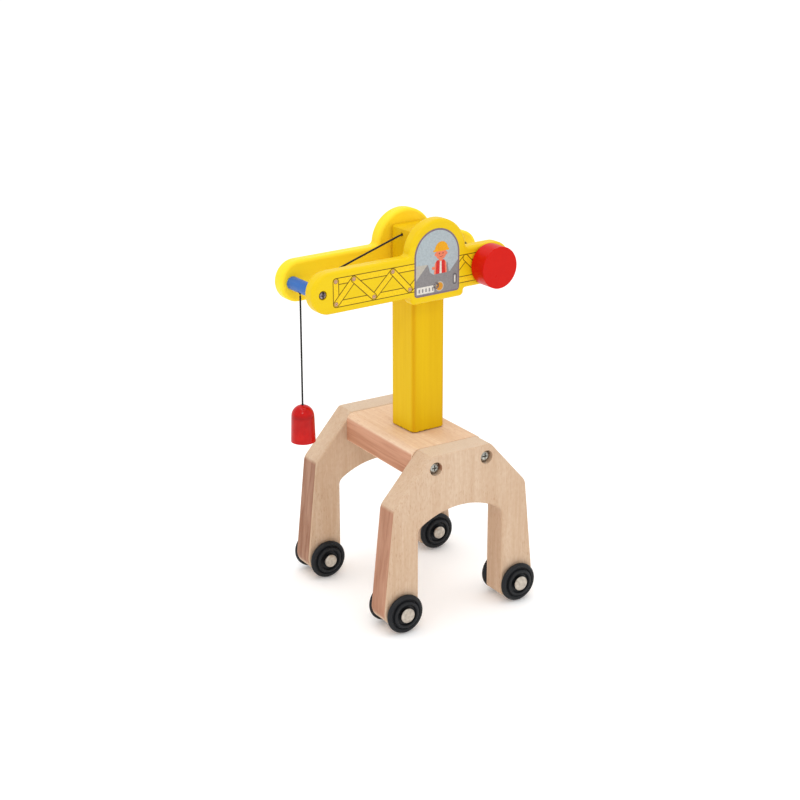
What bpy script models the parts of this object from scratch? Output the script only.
"""Toy tower crane on a wheeled wooden gantry, one named object for each piece.

Run with: blender --background --python part.py
Metres, +Z up. The floor is z = 0, the jib points towards -X, and the winding knob is on the -Y side.
Two arched side frames and a deck block make the gantry. A square post turns on the deck and carries
two jib plates, a string winch behind the post and a magnet weight that hangs from the jib's tip.
"""
import math

import bmesh
import bpy
from mathutils import Matrix, Vector

MM = 0.001
GAP = 0.3                      # clearance between pieces that touch, in millimetres like all sizes below

# Where the head stands on the base
BASE_X = 16.4                  # the gantry's middle, from the middle of the whole crane
SWIVEL_X = BASE_X + 1.7        # the post's turning axis stands a little off the gantry's middle
SWIVEL_Y = -3.2
REST_SWIVEL = math.radians(3.2)

# Wheels and axle pins
WHEEL_R = 12.5
WHEEL_DISC = 3.6
WHEEL_HUB_R = 8.7
WHEEL_HUB = 1.2
WHEEL_BORE_R = 2.4
PIN_R = 2.0
RIVET_R = 4.7
RIVET_H = 1.2
CAP_R = 4.2
CAP_H = 2.2
AXLE_X = 42.4
WHEEL_GAP = 0.4

# Side frames
FRAME_OUTER_Y = 55.4
FRAME_T = 16.6
FRAME_INNER_Y = FRAME_OUTER_Y - FRAME_T
FRAME_TOP = 110.0
FRAME_TOP_HALF = 21.8
SHOULDER_Z = 79.8
SHOULDER_HALF = 48.6
FOOT_Z = 4.2
FOOT_HALF = 56.4
FOOT_CORNER_R = 10.0
ARCH_HALF = 31.0
ARCH_TOP = 74.0
ARCH_SIDE = 64.2
ARCH_CORNER_R = 5.0
CROWN_SPAN = 60.0
WOOD_ROUND = 1.3
POCKET = 2.6

# Deck block
DECK_HALF_X = 25.7
DECK_T = 18.75
DECK_BOTTOM = FRAME_TOP - DECK_T
DECK_END_Y = FRAME_INNER_Y + POCKET - GAP
DECK_ROUND = 5.0

# Screws that hold the side frames to the deck
FRAME_SCREW_X = 18.5
FRAME_SCREW_Z = 101.7
COUNTERBORE_R = 4.3
COUNTERBORE = 4.6
SCREW_HEAD_R = 3.6
SCREW_HEAD = 2.5
SCREW_SHANK_R = 1.75
SCREW_LENGTH = 24.0

# Pivot screw under the post
PIVOT_R = 2.5
PIVOT_HEAD_R = 5.0
PIVOT_HEAD = 3.0
PIVOT_LENGTH = 40.0
WASHER_R = 6.6
WASHER_T = 1.0
PIVOT_RECESS = 6.0
PIVOT_RECESS_R = 7.3

# Post
POST_HALF = 12.0
POST_TOP = 238.5
POST_CORNER_R = 2.6
POST_ROUND = 0.7
STRING_HOLE_Z = 235.0
STRING_HOLE_R = 1.5

# Jib plates
PLATE_IN = POST_HALF + GAP
PLATE_OUT = 21.2
PLATE_T = PLATE_OUT - PLATE_IN
JIB_Z = 213.7
JIB_HALF = 12.75
TIP_ARC_X = -77.6
REAR_ARC_X = 42.6
DOME_R = 21.0
DOME_Z = JIB_Z + 12.3
CAB_HALF = 19.6
CAB_DROP = 17.5
PLATE_ROUND = 2.2
PLATE_CORNER_R = 2.4
CAB_NOTCH_R = 1.5
CAB_CORNER_R = 3.0
DOME_START = 11.0              # degrees above level where the dome leaves its small fillets

# Tip dowel and small screws
TIP_X = -82.9
DOWEL_R = 4.0
SMALL_HEAD_R = 2.5
SMALL_HEAD = 1.4
SMALL_SHANK_R = 1.2
SMALL_LENGTH = 17.0
CAB_SCREW_X = -2.0
CAB_SCREW_Z = JIB_Z - 7.5

# Winch
WINCH_X = 37.0
WINCH_Z = JIB_Z
WINCH_AXLE_R = 3.0
KNOB_R = 13.1
KNOB_FRONT_Y = -34.0
KNOB_BACK_Y = -21.9
KNOB_BORE = 10.0
DRUM_CORE_R = 4.6
DRUM_FLANGE_R = 9.0
DRUM_FLANGE = 1.6
DRUM_HALF = 9.0
WOUND_R = 6.2
WOUND_HALF = 5.0

# String and weight
STRING_R = 0.6
LINE_X = TIP_X - 2.2           # the string leaves the dowel a little in front of its middle
WEIGHT_R = 7.0
WEIGHT_FOOT_R = 7.55
WEIGHT_TOP = 141.2
WEIGHT_H = 23.1
WEIGHT_WALL = 1.8
WEIGHT_HOLE_R = 1.0
MAGNET_R = 5.0
MAGNET_H = 4.0
KNOT_R = 1.9
STUB = 1.5
STRING_EXIT_Z = JIB_Z - DOWEL_R - 0.3

ROUND_STEPS = 24
SIDES = ((-1, "near"), (1, "far"))


# ---------------------------------------------------------------- scene, materials, helpers

def clear_scene():
    for old in list(bpy.data.objects):
        bpy.data.objects.remove(old, do_unlink=True)


def make_collection(name):
    collection = bpy.data.collections.new(name)
    bpy.context.scene.collection.children.link(collection)
    return collection


clear_scene()
PARTS = make_collection("toy_tower_crane")
CUTTERS = make_collection("cutters")


def material(name, color, roughness, metallic=0.0):
    mat = bpy.data.materials.new(name)
    mat.use_nodes = True
    shader = mat.node_tree.nodes["Principled BSDF"]
    shader.inputs["Base Color"].default_value = (*color, 1.0)
    shader.inputs["Roughness"].default_value = roughness
    shader.inputs["Metallic"].default_value = metallic
    return mat


BEECH = material("beech", (0.72, 0.53, 0.35), 0.55)
YELLOW = material("yellow_paint", (0.94, 0.68, 0.02), 0.35)
RED = material("red_paint", (0.62, 0.02, 0.01), 0.30)
BLUE = material("blue_paint", (0.06, 0.20, 0.55), 0.35)
BLACK = material("black_plastic", (0.02, 0.02, 0.023), 0.40)
STEEL = material("steel", (0.66, 0.64, 0.60), 0.30, 1.0)
THREAD = material("black_string", (0.02, 0.018, 0.016), 0.80)
DOWEL_WOOD = material("dowel_wood", (0.70, 0.52, 0.34), 0.60)


def empty(name, location, parent=None, turn=0.0):
    obj = bpy.data.objects.new(name, None)
    obj.location = Vector(location) * MM
    obj.rotation_euler = (0.0, 0.0, turn)
    obj.parent = parent
    PARTS.objects.link(obj)
    return obj


BASE = empty("base_origin", (BASE_X, 0, 0))
HEAD = empty("head_origin", (SWIVEL_X, SWIVEL_Y, 0), turn=REST_SWIVEL)
WINCH = empty("winch_origin", (WINCH_X, 0, WINCH_Z), parent=HEAD)


def add_mesh(name, mesh, mat, parent, location=(0, 0, 0), collection=PARTS):
    obj = bpy.data.objects.new(name, mesh)
    obj.location = Vector(location) * MM
    obj.parent = parent
    if mat:
        mesh.materials.clear()
        mesh.materials.append(mat)
    collection.objects.link(obj)
    return obj


def from_bmesh(name, bm):
    mesh = bpy.data.meshes.new(name)
    bm.to_mesh(mesh)
    bm.free()
    return mesh


def box_mesh(name, low, high):
    bm = bmesh.new()
    size = Vector(high) - Vector(low)
    middle = (Vector(high) + Vector(low)) / 2
    bmesh.ops.create_cube(bm, size=1.0, matrix=Matrix.Translation(middle * MM) @ Matrix.Diagonal(size * MM).to_4x4())
    return from_bmesh(name, bm)


TURNS = {
    "x": Matrix.Rotation(math.radians(90), 4, "Y"),
    "y": Matrix.Rotation(math.radians(-90), 4, "X"),
    "z": Matrix.Identity(4),
}


def rod_mesh(name, radius, start, end, along="y", centre=(0, 0), steps=ROUND_STEPS):
    """A closed cylinder along an axis; centre holds the two other coordinates in x, y, z order."""
    bm = bmesh.new()
    bmesh.ops.create_cone(bm, cap_ends=True, segments=steps, radius1=radius * MM, radius2=radius * MM,
                          depth=abs(end - start) * MM)
    middle = (start + end) / 2
    a, b = centre
    place = {"x": (middle, a, b), "y": (a, middle, b), "z": (a, b, middle)}[along]
    bm.transform(Matrix.Translation(Vector(place) * MM) @ TURNS[along])
    return from_bmesh(name, bm)


def merge_meshes(name, meshes):
    bm = bmesh.new()
    for mesh in meshes:
        bm.from_mesh(mesh)
        bpy.data.meshes.remove(mesh)
    return from_bmesh(name, bm)


def turned_mesh(name, profile, steps=ROUND_STEPS):
    """Turn a closed or axis-to-axis profile of (radius, height) points about Z with a Screw modifier."""
    mesh = bpy.data.meshes.new(name + "_profile")
    points = [(radius * MM, 0.0, height * MM) for radius, height in profile]
    closed = min(radius for radius, height in profile) > 0
    edges = [(i, i + 1) for i in range(len(points) - 1)]
    if closed:
        edges.append((len(points) - 1, 0))
    mesh.from_pydata(points, edges, [])
    obj = add_mesh(name + "_turning", mesh, None, None, collection=CUTTERS)
    screw = obj.modifiers.new("turn", "SCREW")
    screw.axis = "Z"
    screw.steps = steps
    screw.render_steps = steps
    screw.use_merge_vertices = True
    screw.merge_threshold = 0.00001
    screw.use_normal_calculate = False
    result = evaluated_mesh(name, obj)
    remove_object(obj)
    return result


def evaluated_mesh(name, obj):
    graph = bpy.context.evaluated_depsgraph_get()
    result = bpy.data.meshes.new_from_object(obj.evaluated_get(graph))
    result.name = name
    return result


def remove_object(obj):
    data = obj.data
    bpy.data.objects.remove(obj, do_unlink=True)
    if isinstance(data, bpy.types.Mesh):
        bpy.data.meshes.remove(data)
    else:
        bpy.data.curves.remove(data)


def curve_bmesh(name, curve):
    """A curve drawn in millimetres, as a welded mesh."""
    obj = bpy.data.objects.new(name, curve)
    CUTTERS.objects.link(obj)
    mesh = evaluated_mesh(name, obj)
    remove_object(obj)
    bm = bmesh.new()
    bm.from_mesh(mesh)
    bpy.data.meshes.remove(mesh)
    bmesh.ops.remove_doubles(bm, verts=bm.verts, dist=0.01)
    return bm


def turn_mesh(mesh, axis, flip=False):
    """Lay a mesh that was turned about Z along another axis."""
    if flip:
        mesh.transform(Matrix.Rotation(math.pi, 4, "X"))
    mesh.transform(TURNS[axis])
    return mesh


def rounded_outline(corners):
    """Corners are (x, z, radius, steps); each corner with a radius becomes a tangent arc."""
    points = []
    count = len(corners)
    for i, (x, z, radius, steps) in enumerate(corners):
        here = Vector((x, z))
        if radius == 0:
            points.append(here)
            continue
        back = (Vector(corners[i - 1][:2]) - here).normalized()
        ahead = (Vector(corners[(i + 1) % count][:2]) - here).normalized()
        half = back.angle(ahead) / 2
        centre = here + (back + ahead).normalized() * (radius / math.sin(half))
        first = here + back * (radius / math.tan(half)) - centre
        last = here + ahead * (radius / math.tan(half)) - centre
        turn = first.angle_signed(last)
        for step in range(steps + 1):
            angle = -turn * step / steps
            points.append(centre + Matrix.Rotation(angle, 2) @ first)
    return points


def arc(x, z, radius, start, end, steps):
    """Points on a circle from the start angle to the end angle, in degrees."""
    angles = [math.radians(start + (end - start) * i / steps) for i in range(steps + 1)]
    return [Vector((x + radius * math.cos(a), z + radius * math.sin(a))) for a in angles]


def outline_mesh(name, points, y_low, y_high):
    """A flat board: the outline in X and Z as an extruded 2D curve, with one face on each side."""
    curve = bpy.data.curves.new(name, "CURVE")
    curve.dimensions = "2D"
    curve.fill_mode = "NONE"
    curve.extrude = (y_high - y_low) / 2
    spline = curve.splines.new("POLY")
    spline.points.add(len(points) - 1)
    for point, (x, z) in zip(spline.points, points):
        point.co = (x, z, 0.0, 1.0)
    spline.use_cyclic_u = True
    bm = curve_bmesh(name, curve)
    bmesh.ops.holes_fill(bm, edges=bm.edges, sides=0)
    stand = Matrix.Rotation(math.radians(90), 4, "X")
    bm.transform(Matrix.Scale(MM, 4) @ Matrix.Translation((0, (y_low + y_high) / 2, 0)) @ stand)
    bmesh.ops.recalc_face_normals(bm, faces=bm.faces)
    return from_bmesh(name, bm)


def bevel(obj, width, segments=2, angle=60):
    mod = obj.modifiers.new("rounded edges", "BEVEL")
    mod.width = width * MM
    mod.segments = segments
    mod.limit_method = "ANGLE"
    mod.angle_limit = math.radians(angle)
    mod.use_clamp_overlap = False


def cut(obj, name, mesh):
    """Cut a hole or pocket in an object; the cutter shares the object's parent."""
    cutter = add_mesh(name, mesh, None, obj.parent, obj.location / MM, CUTTERS)
    cutter.hide_render = True
    cutter.display_type = "WIRE"
    mod = obj.modifiers.new(name, "BOOLEAN")
    mod.operation = "DIFFERENCE"
    mod.solver = "EXACT"
    mod.object = cutter


def smooth(obj):
    obj.data.shade_smooth()
    obj.data.set_sharp_from_angle(angle=math.radians(35))


def tube_mesh(name, points, radius, steps):
    """A round tube along a smooth curve through the route's points."""
    curve = bpy.data.curves.new(name, "CURVE")
    curve.dimensions = "3D"
    curve.bevel_depth = radius
    curve.bevel_resolution = 2
    curve.use_fill_caps = True
    route = smooth_route(points, steps)
    spline = curve.splines.new("POLY")
    spline.points.add(len(route) - 1)
    for point, place in zip(spline.points, route):
        point.co = (*place, 1.0)
    bm = curve_bmesh(name, curve)
    bm.transform(Matrix.Scale(MM, 4))
    return from_bmesh(name, bm)


def smooth_route(points, steps):
    """Points on a Catmull-Rom curve through the route, with the given number of steps per stretch."""
    route = [Vector(p) for p in points]
    route = [2 * route[0] - route[1]] + route + [2 * route[-1] - route[-2]]
    result = []
    for i in range(1, len(route) - 2):
        a, b, c, d = route[i - 1:i + 3]
        for step in range(steps):
            t = step / steps
            result.append(0.5 * (2 * b + (c - a) * t + (2 * a - 5 * b + 4 * c - d) * t * t
                                 + (3 * b - a - 3 * c + d) * t ** 3))
    result.append(route[-2])
    return result


# ---------------------------------------------------------------- gantry

def frame_points():
    """The side frame's outline: a chamfered crown over a low-arched opening, and two spread legs."""
    left = [
        (-FRAME_TOP_HALF, FRAME_TOP, 4.0, 2),
        (-SHOULDER_HALF, SHOULDER_Z, 8.0, 3),
        (-FOOT_HALF, FOOT_Z, FOOT_CORNER_R, 4),
        (-ARCH_HALF, FOOT_Z, 3.0, 3),
        (-ARCH_HALF, ARCH_SIDE, ARCH_CORNER_R, 4),
    ]
    rise = ARCH_TOP - ARCH_SIDE
    crown_r = (ARCH_HALF ** 2 + rise ** 2) / (2 * rise)
    first = 90 + CROWN_SPAN / 2
    crown = [(*p, 0, 0) for p in arc(0, ARCH_TOP - crown_r, crown_r, first, first - CROWN_SPAN, 8)]
    right = [(-x, z, radius, steps) for x, z, radius, steps in reversed(left)]
    return rounded_outline(left + crown + right)


def side_frame(name, side):
    """side is -1 for the near frame and +1 for the far one."""
    low, high = sorted((side * FRAME_OUTER_Y, side * FRAME_INNER_Y))
    frame = add_mesh(name, outline_mesh(name, frame_points(), low, high), BEECH, BASE)
    bevel(frame, WOOD_ROUND)
    pocket_y = sorted((side * (FRAME_INNER_Y - 1), side * (FRAME_INNER_Y + POCKET)))
    pocket = box_mesh("pocket", (-DECK_HALF_X - GAP, pocket_y[0], DECK_BOTTOM - GAP),
                      (DECK_HALF_X + GAP, pocket_y[1], FRAME_TOP + 5))
    cut(frame, name + "_pocket", pocket)
    holes = []
    for x in (-FRAME_SCREW_X, FRAME_SCREW_X):
        holes.append(rod_mesh("counterbore", COUNTERBORE_R, side * (FRAME_OUTER_Y + 1),
                              side * (FRAME_OUTER_Y - COUNTERBORE), centre=(x, FRAME_SCREW_Z)))
    cut(frame, name + "_counterbores", merge_meshes("counterbores", holes))
    holes = []
    for x in (-FRAME_SCREW_X, FRAME_SCREW_X):
        holes.append(rod_mesh("screw_hole", SCREW_SHANK_R + GAP, side * (FRAME_OUTER_Y - COUNTERBORE + 1),
                              side * (FRAME_INNER_Y - 1), centre=(x, FRAME_SCREW_Z), steps=12))
    for x in (-AXLE_X, AXLE_X):
        holes.append(rod_mesh("axle_hole", PIN_R + GAP, side * (FRAME_OUTER_Y + 1), side * (FRAME_INNER_Y - 1),
                              centre=(x, WHEEL_R), steps=12))
    cut(frame, name + "_holes", merge_meshes("holes", holes))
    smooth(frame)


def deck_block():
    """The block that joins the side frames, with rounded top edges and a recessed pivot bore."""
    corners = [
        (-DECK_HALF_X, FRAME_TOP, DECK_ROUND, 5),
        (-DECK_HALF_X, DECK_BOTTOM, 1.0, 1),
        (DECK_HALF_X, DECK_BOTTOM, 1.0, 1),
        (DECK_HALF_X, FRAME_TOP, DECK_ROUND, 5),
    ]
    deck = add_mesh("deck_block", outline_mesh("deck_block", rounded_outline(corners), -DECK_END_Y, DECK_END_Y),
                    BEECH, BASE)
    pivot = (SWIVEL_X - BASE_X, SWIVEL_Y)
    recess = rod_mesh("recess", PIVOT_RECESS_R, DECK_BOTTOM - 1, DECK_BOTTOM + PIVOT_RECESS, along="z", centre=pivot)
    cut(deck, "pivot_recess", recess)
    bore = rod_mesh("bore", PIVOT_R + GAP, DECK_BOTTOM + PIVOT_RECESS - 1, FRAME_TOP + 1, along="z",
                    centre=pivot, steps=16)
    cut(deck, "pivot_bore", bore)
    holes = []
    reach = FRAME_OUTER_Y - COUNTERBORE - SCREW_LENGTH - GAP
    for side in (-1, 1):
        for x in (-FRAME_SCREW_X, FRAME_SCREW_X):
            holes.append(rod_mesh("pilot", SCREW_SHANK_R + GAP, side * (DECK_END_Y + 1), side * reach,
                                  centre=(x, FRAME_SCREW_Z), steps=12))
    cut(deck, "screw_pilots", merge_meshes("pilots", holes))
    smooth(deck)


def pan_screw_profile(head_r, head, shank_r, length):
    """A pan-head screw that points down -Z, with its head's underside at z = 0."""
    return [
        (0.0, head),
        (head_r * 0.55, head * 0.92),
        (head_r * 0.88, head * 0.6),
        (head_r, head * 0.2),
        (head_r, 0.0),
        (shank_r, 0.0),
        (shank_r, -length + 1.5),
        (0.0, -length),
    ]


def frame_screws():
    """Four pan-head screws, two through each side frame into the deck."""
    profile = pan_screw_profile(SCREW_HEAD_R, SCREW_HEAD, SCREW_SHANK_R, SCREW_LENGTH)
    for side, side_name in SIDES:
        for x, x_name in ((-FRAME_SCREW_X, "front"), (FRAME_SCREW_X, "rear")):
            mesh = turn_mesh(turned_mesh("screw", profile, steps=14), "y", flip=side < 0)
            seat = side * (FRAME_OUTER_Y - COUNTERBORE + GAP)
            smooth(add_mesh(f"frame_screw_{side_name}_{x_name}", mesh, STEEL, BASE, (x, seat, FRAME_SCREW_Z)))


def wheel_profile():
    """A disc with a stepped hub; the disc's back face is z = 0 and the hub faces +Z."""
    top = WHEEL_DISC + WHEEL_HUB
    return [
        (WHEEL_BORE_R, top),
        (WHEEL_HUB_R - 0.6, top),
        (WHEEL_HUB_R, top - 0.5),
        (WHEEL_HUB_R, WHEEL_DISC),
        (WHEEL_R - 0.9, WHEEL_DISC),
        (WHEEL_R, WHEEL_DISC - 0.9),
        (WHEEL_R, 0.6),
        (WHEEL_R - 0.6, 0.0),
        (WHEEL_BORE_R, 0.0),
    ]


def pin_profile(length):
    """An axle pin with a domed rivet head; the head's underside is z = 0 and the pin points down."""
    return [
        (0.0, RIVET_H),
        (RIVET_R * 0.6, RIVET_H * 0.85),
        (RIVET_R * 0.92, RIVET_H * 0.4),
        (RIVET_R, 0.0),
        (PIN_R, 0.0),
        (PIN_R, -length),
        (0.0, -length),
    ]


def cap_profile():
    """A push-on cap: a blind bore in its back for the pin's end, a domed face to +Z."""
    bore = PIN_R + GAP
    return [
        (0.0, CAP_H),
        (CAP_R * 0.6, CAP_H * 0.9),
        (CAP_R, CAP_H * 0.5),
        (CAP_R, 0.0),
        (bore, 0.0),
        (bore, CAP_H * 0.6),
        (0.0, CAP_H * 0.6),
    ]


def running_gear():
    """Four axle pins, each with a wheel on both sides of its leg and a cap on the pin's inner end."""
    wheel_width = WHEEL_DISC + WHEEL_HUB
    head_y = FRAME_OUTER_Y + WHEEL_GAP + wheel_width + GAP
    cap_y = FRAME_INNER_Y - WHEEL_GAP - wheel_width - GAP
    pin_length = head_y - cap_y + CAP_H * 0.6 - GAP
    for side, side_name in SIDES:
        for x, x_name in ((-AXLE_X, "front"), (AXLE_X, "rear")):
            spot = f"{side_name}_{x_name}"
            outer = turn_mesh(turned_mesh("wheel", wheel_profile()), "y", flip=side < 0)
            smooth(add_mesh(f"wheel_{spot}_outer", outer, BLACK, BASE,
                            (x, side * (FRAME_OUTER_Y + WHEEL_GAP), WHEEL_R)))
            inner = turn_mesh(turned_mesh("wheel", wheel_profile()), "y", flip=side > 0)
            smooth(add_mesh(f"wheel_{spot}_inner", inner, BLACK, BASE,
                            (x, side * (FRAME_INNER_Y - WHEEL_GAP), WHEEL_R)))
            pin = turn_mesh(turned_mesh("pin", pin_profile(pin_length), steps=16), "y", flip=side < 0)
            smooth(add_mesh(f"axle_pin_{spot}", pin, STEEL, BASE, (x, side * head_y, WHEEL_R)))
            cap = turn_mesh(turned_mesh("cap", cap_profile(), steps=16), "y", flip=side > 0)
            smooth(add_mesh(f"axle_cap_{spot}", cap, STEEL, BASE, (x, side * cap_y, WHEEL_R)))


# ---------------------------------------------------------------- post and pivot

def tower_post():
    """The square post: rounded long edges, a string hole near its top and pilot holes for screws."""
    half = POST_HALF
    bottom = FRAME_TOP + GAP
    corners = [(x * half, y * half, POST_CORNER_R, 3) for x, y in ((-1, -1), (1, -1), (1, 1), (-1, 1))]
    column = outline_mesh("tower_post", rounded_outline(corners), bottom, POST_TOP)
    column.transform(Matrix.Rotation(math.radians(90), 4, "X"))
    post = add_mesh("tower_post", column, YELLOW, HEAD)
    bevel(post, POST_ROUND)
    hole = rod_mesh("string_hole", STRING_HOLE_R, -half - 1, half + 1, along="x",
                    centre=(0, STRING_HOLE_Z), steps=12)
    cut(post, "post_string_hole", hole)
    pivot_top = DECK_BOTTOM + PIVOT_RECESS + PIVOT_LENGTH
    bore = rod_mesh("pivot_pilot", PIVOT_R + GAP, bottom - 1, pivot_top, along="z", steps=16)
    cut(post, "post_pivot_pilot", bore)
    holes = []
    for side in (-1, 1):
        holes.append(rod_mesh("cab_pilot", SMALL_SHANK_R + GAP, side * (half + 1),
                              side * (PLATE_OUT - SMALL_HEAD - SMALL_LENGTH - GAP),
                              centre=(CAB_SCREW_X, CAB_SCREW_Z), steps=10))
    cut(post, "post_cab_pilots", merge_meshes("pilots", holes))
    smooth(post)


def pivot_hardware():
    """The wood screw and washer that hold the post down and let it turn on the deck."""
    seat = DECK_BOTTOM + PIVOT_RECESS - GAP
    washer_profile = [
        (PIVOT_R + GAP, WASHER_T),
        (WASHER_R, WASHER_T),
        (WASHER_R, 0.0),
        (PIVOT_R + GAP, 0.0),
    ]
    washer = add_mesh("pivot_washer", turned_mesh("pivot_washer", washer_profile, steps=20), STEEL, HEAD,
                      (0, 0, seat - WASHER_T))
    smooth(washer)
    length = PIVOT_LENGTH - 2.0
    profile = pan_screw_profile(PIVOT_HEAD_R, PIVOT_HEAD, PIVOT_R, length)
    mesh = turned_mesh("pivot_screw", profile, steps=16)
    mesh.transform(Matrix.Rotation(math.pi, 4, "X"))
    screw = add_mesh("pivot_screw", mesh, STEEL, HEAD, (0, 0, seat - WASHER_T - GAP))
    smooth(screw)


# ---------------------------------------------------------------- jib

def plate_points():
    """A jib plate's outline: round tip and tail, the cab's dome above and its square foot below."""
    top, low, foot = JIB_Z + JIB_HALF, JIB_Z - JIB_HALF, JIB_Z - CAB_DROP
    junction_x = math.sqrt(DOME_R ** 2 - (top - DOME_Z) ** 2)
    tail = [(*point, 0, 0) for point in arc(REAR_ARC_X, JIB_Z, JIB_HALF, -90, 90, 10)]
    dome = [(*point, 0, 0) for point in arc(0, DOME_Z, DOME_R, DOME_START, 180 - DOME_START, 14)]
    tip = [(*point, 0, 0) for point in arc(TIP_ARC_X, JIB_Z, JIB_HALF, 90, 270, 10)]
    corners = tail + [(junction_x, top, PLATE_CORNER_R, 3)] + dome + [(-junction_x, top, PLATE_CORNER_R, 3)] + tip
    corners += [
        (-CAB_HALF, low, CAB_NOTCH_R, 2),
        (-CAB_HALF, foot, CAB_CORNER_R, 3),
        (CAB_HALF, foot, CAB_CORNER_R, 3),
        (CAB_HALF, low, CAB_NOTCH_R, 2),
    ]
    return rounded_outline(corners)


def jib_plate(name, side):
    low, high = sorted((side * PLATE_OUT, side * PLATE_IN))
    plate = add_mesh(name, outline_mesh(name, plate_points(), low, high), YELLOW, HEAD)
    bevel(plate, PLATE_ROUND)
    bore = rod_mesh("winch_bore", WINCH_AXLE_R + GAP, side * (PLATE_OUT + 1), side * (PLATE_IN - 1),
                    centre=(WINCH_X, WINCH_Z), steps=16)
    cut(plate, name + "_winch_bore", bore)
    spots = ((TIP_X, JIB_Z), (CAB_SCREW_X, CAB_SCREW_Z))
    sinks = [rod_mesh("sink", SMALL_HEAD_R + GAP, side * (PLATE_OUT + 1), side * (PLATE_OUT - SMALL_HEAD - GAP),
                      centre=spot, steps=16) for spot in spots]
    cut(plate, name + "_screw_recesses", merge_meshes("sinks", sinks))
    holes = [rod_mesh("hole", SMALL_SHANK_R + GAP, side * (PLATE_OUT - SMALL_HEAD), side * (PLATE_IN - 1),
                      centre=spot, steps=10) for spot in spots]
    cut(plate, name + "_screw_holes", merge_meshes("holes", holes))
    smooth(plate)


def small_screws(name, x, z):
    """A pair of flush screws, one from each jib plate."""
    profile = [
        (0.0, SMALL_HEAD),
        (SMALL_HEAD_R - 0.4, SMALL_HEAD),
        (SMALL_HEAD_R, SMALL_HEAD - 0.3),
        (SMALL_HEAD_R, 0.0),
        (SMALL_SHANK_R, 0.0),
        (SMALL_SHANK_R, -SMALL_LENGTH + 1.5),
        (0.0, -SMALL_LENGTH),
    ]
    for side, side_name in SIDES:
        mesh = turn_mesh(turned_mesh("small_screw", profile, steps=12), "y", flip=side < 0)
        smooth(add_mesh(f"{name}_{side_name}", mesh, STEEL, HEAD, (x, side * (PLATE_OUT - SMALL_HEAD), z)))


def tip_dowel():
    """The blue cross dowel at the jib's tip; the string goes in at its back and out at its underside."""
    half = PLATE_IN - GAP
    dowel = add_mesh("tip_dowel", rod_mesh("tip_dowel", DOWEL_R, -half, half), BLUE, HEAD, (TIP_X, 0, JIB_Z))
    pilot_depth = PLATE_OUT - SMALL_HEAD - SMALL_LENGTH - GAP
    holes = [rod_mesh("pilot", SMALL_SHANK_R + GAP, side * (half + 1), side * pilot_depth, steps=10)
             for side in (-1, 1)]
    cut(dowel, "dowel_pilots", merge_meshes("pilots", holes))
    drop_x = LINE_X - TIP_X
    down = rod_mesh("down", STRING_HOLE_R, -DOWEL_R - 1, 0.4, along="z", centre=(drop_x, 0), steps=12)
    cut(dowel, "dowel_string_drop", down)
    back = rod_mesh("back", STRING_HOLE_R, drop_x - 0.4, DOWEL_R + 1, along="x", centre=(0, 0.4), steps=12)
    cut(dowel, "dowel_string_entry", back)
    smooth(dowel)


# ---------------------------------------------------------------- winch

def winch():
    """The red knob, its axle, the string drum between the plates and the string wound on it."""
    knob_rim = 0.9
    knob_profile = [
        (0.0, KNOB_BACK_Y - KNOB_FRONT_Y),
        (KNOB_R - knob_rim, KNOB_BACK_Y - KNOB_FRONT_Y),
        (KNOB_R - 0.25, KNOB_BACK_Y - KNOB_FRONT_Y - 0.3),
        (KNOB_R, KNOB_BACK_Y - KNOB_FRONT_Y - knob_rim),
        (KNOB_R, knob_rim),
        (KNOB_R - knob_rim, 0.0),
        (WINCH_AXLE_R + GAP, 0.0),
        (WINCH_AXLE_R + GAP, KNOB_BORE),
        (0.0, KNOB_BORE),
    ]
    mesh = turn_mesh(turned_mesh("winch_knob", knob_profile, steps=32), "y", flip=True)
    knob = add_mesh("winch_knob", mesh, RED, WINCH, (0, KNOB_BACK_Y, 0))
    smooth(knob)
    axle_mesh = rod_mesh("winch_axle", WINCH_AXLE_R, KNOB_BACK_Y - KNOB_BORE + GAP, PLATE_OUT - 0.5, steps=16)
    smooth(add_mesh("winch_axle", axle_mesh, DOWEL_WOOD, WINCH))
    inner = WINCH_AXLE_R + GAP
    drum_profile = [
        (inner, DRUM_HALF),
        (DRUM_FLANGE_R, DRUM_HALF),
        (DRUM_FLANGE_R, DRUM_HALF - DRUM_FLANGE),
        (DRUM_CORE_R, DRUM_HALF - DRUM_FLANGE),
        (DRUM_CORE_R, -DRUM_HALF + DRUM_FLANGE),
        (DRUM_FLANGE_R, -DRUM_HALF + DRUM_FLANGE),
        (DRUM_FLANGE_R, -DRUM_HALF),
        (inner, -DRUM_HALF),
    ]
    drum = turn_mesh(turned_mesh("winch_drum", drum_profile), "y")
    smooth(add_mesh("winch_drum", drum, YELLOW, WINCH))
    wound_profile = [
        (DRUM_CORE_R + GAP, WOUND_HALF),
        (WOUND_R - 0.4, WOUND_HALF),
        (WOUND_R, WOUND_HALF - 0.5),
        (WOUND_R, -WOUND_HALF + 0.5),
        (WOUND_R - 0.4, -WOUND_HALF),
        (DRUM_CORE_R + GAP, -WOUND_HALF),
    ]
    wound = turn_mesh(turned_mesh("wound_string", wound_profile), "y")
    smooth(add_mesh("wound_string", wound, THREAD, WINCH))


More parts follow.
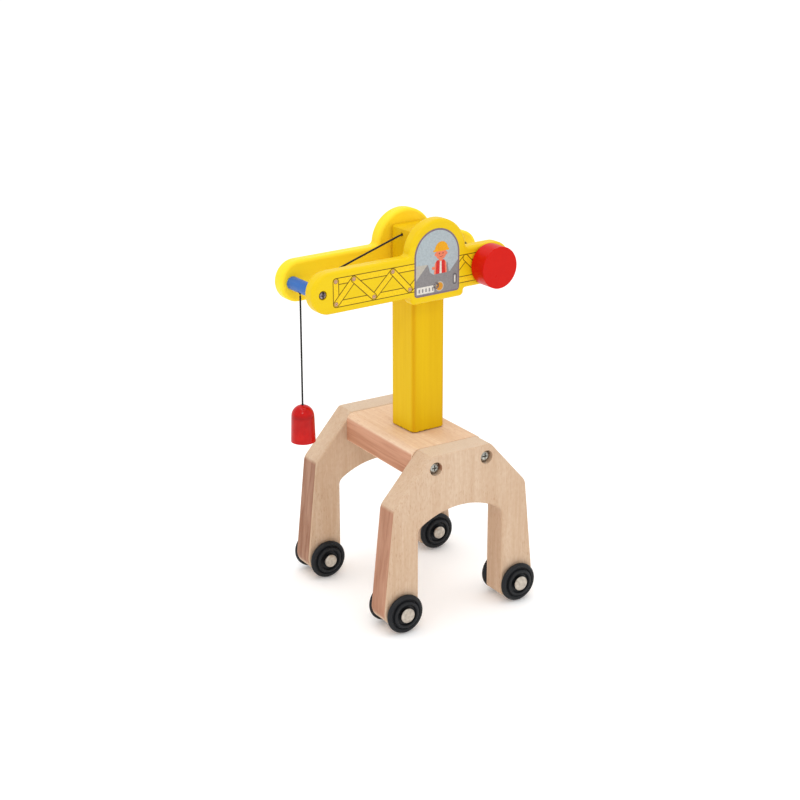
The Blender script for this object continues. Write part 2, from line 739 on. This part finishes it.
def string_route():
    """The string's middle line from the drum, through the post, to the tip dowel and out below it."""
    reach = WOUND_R + GAP + STRING_R
    lift = math.radians(61)
    drum = (WINCH_X + reach * math.cos(lift), 0, WINCH_Z + reach * math.sin(lift))
    return [
        drum,
        (30.0, 0, 225.4),
        (20.0, 0, 230.8),
        (13.6, 0, 234.1),
        (9.0, 0, STRING_HOLE_Z),
        (0.0, 0, STRING_HOLE_Z),
        (-9.0, 0, STRING_HOLE_Z),
        (-13.4, 0, 234.5),
        (-20.0, 0, 232.6),
        (-40.0, 0, 226.6),
        (-60.0, 0, 220.5),
        (-75.0, 0, 216.0),
        (-78.6, 0, 214.8),
        (-81.5, 0, 214.1),
        (-84.0, 0, 213.4),
        (LINE_X, 0, 211.6),
        (LINE_X, 0, STRING_EXIT_Z + GAP),
    ]


def strings():
    """The string held between the drum and the tip, and the free length down to the weight."""
    run = add_mesh("jib_string", tube_mesh("jib_string", string_route(), STRING_R, 2), THREAD, HEAD)
    smooth(run)
    top, bottom = STRING_EXIT_Z, WEIGHT_TOP + STUB + GAP
    count = 24
    route = [(LINE_X, 0, top + (bottom - top) * i / count) for i in range(count + 1)]
    hanging = add_mesh("hanging_string", tube_mesh("hanging_string", route, STRING_R, 1), THREAD, HEAD)
    smooth(hanging)


def magnet_weight():
    """The hollow red weight, its magnet disc and the knot that ties the string inside it."""
    cavity_r = MAGNET_R + GAP
    profile = [tuple(point) for point in arc(0, WEIGHT_TOP - WEIGHT_R, WEIGHT_R, 81.7, 0, 8)]
    bottom = WEIGHT_TOP - WEIGHT_H
    profile += [
        (WEIGHT_FOOT_R, bottom + 0.6),
        (WEIGHT_FOOT_R - 0.5, bottom),
        (cavity_r, bottom),
        (cavity_r, WEIGHT_TOP - WEIGHT_WALL - 5.0),
        (WEIGHT_HOLE_R + 1.6, WEIGHT_TOP - WEIGHT_WALL - 1.4),
        (WEIGHT_HOLE_R, WEIGHT_TOP - WEIGHT_WALL - 1.0),
    ]
    shell = add_mesh("weight_shell", turned_mesh("weight_shell", profile), RED, HEAD, (LINE_X, 0, 0))
    smooth(shell)
    magnet_mesh = rod_mesh("weight_magnet", MAGNET_R, bottom, bottom + MAGNET_H, along="z")
    smooth(add_mesh("weight_magnet", magnet_mesh, STEEL, HEAD, (LINE_X, 0, 0)))
    knot_top = WEIGHT_TOP - WEIGHT_WALL - 1.4 - 1.2
    knot = [
        (0.0, WEIGHT_TOP + STUB),
        (STRING_R, WEIGHT_TOP + STUB),
        (STRING_R, knot_top),
        (KNOT_R * 0.8, knot_top - 0.5),
        (KNOT_R, knot_top - 1.5),
        (KNOT_R * 0.7, knot_top - 2.7),
        (0.0, knot_top - 3.1),
    ]
    smooth(add_mesh("string_knot", turned_mesh("string_knot", knot, steps=12), THREAD, HEAD, (LINE_X, 0, 0)))


# ---------------------------------------------------------------- the whole crane

def build():
    side_frame("side_frame_near", -1)
    side_frame("side_frame_far", 1)
    deck_block()
    frame_screws()
    running_gear()
    tower_post()
    pivot_hardware()
    jib_plate("jib_plate_near", -1)
    jib_plate("jib_plate_far", 1)
    small_screws("cab_screw", CAB_SCREW_X, CAB_SCREW_Z)
    small_screws("tip_screw", TIP_X, JIB_Z)
    tip_dowel()
    winch()
    strings()
    magnet_weight()


build()
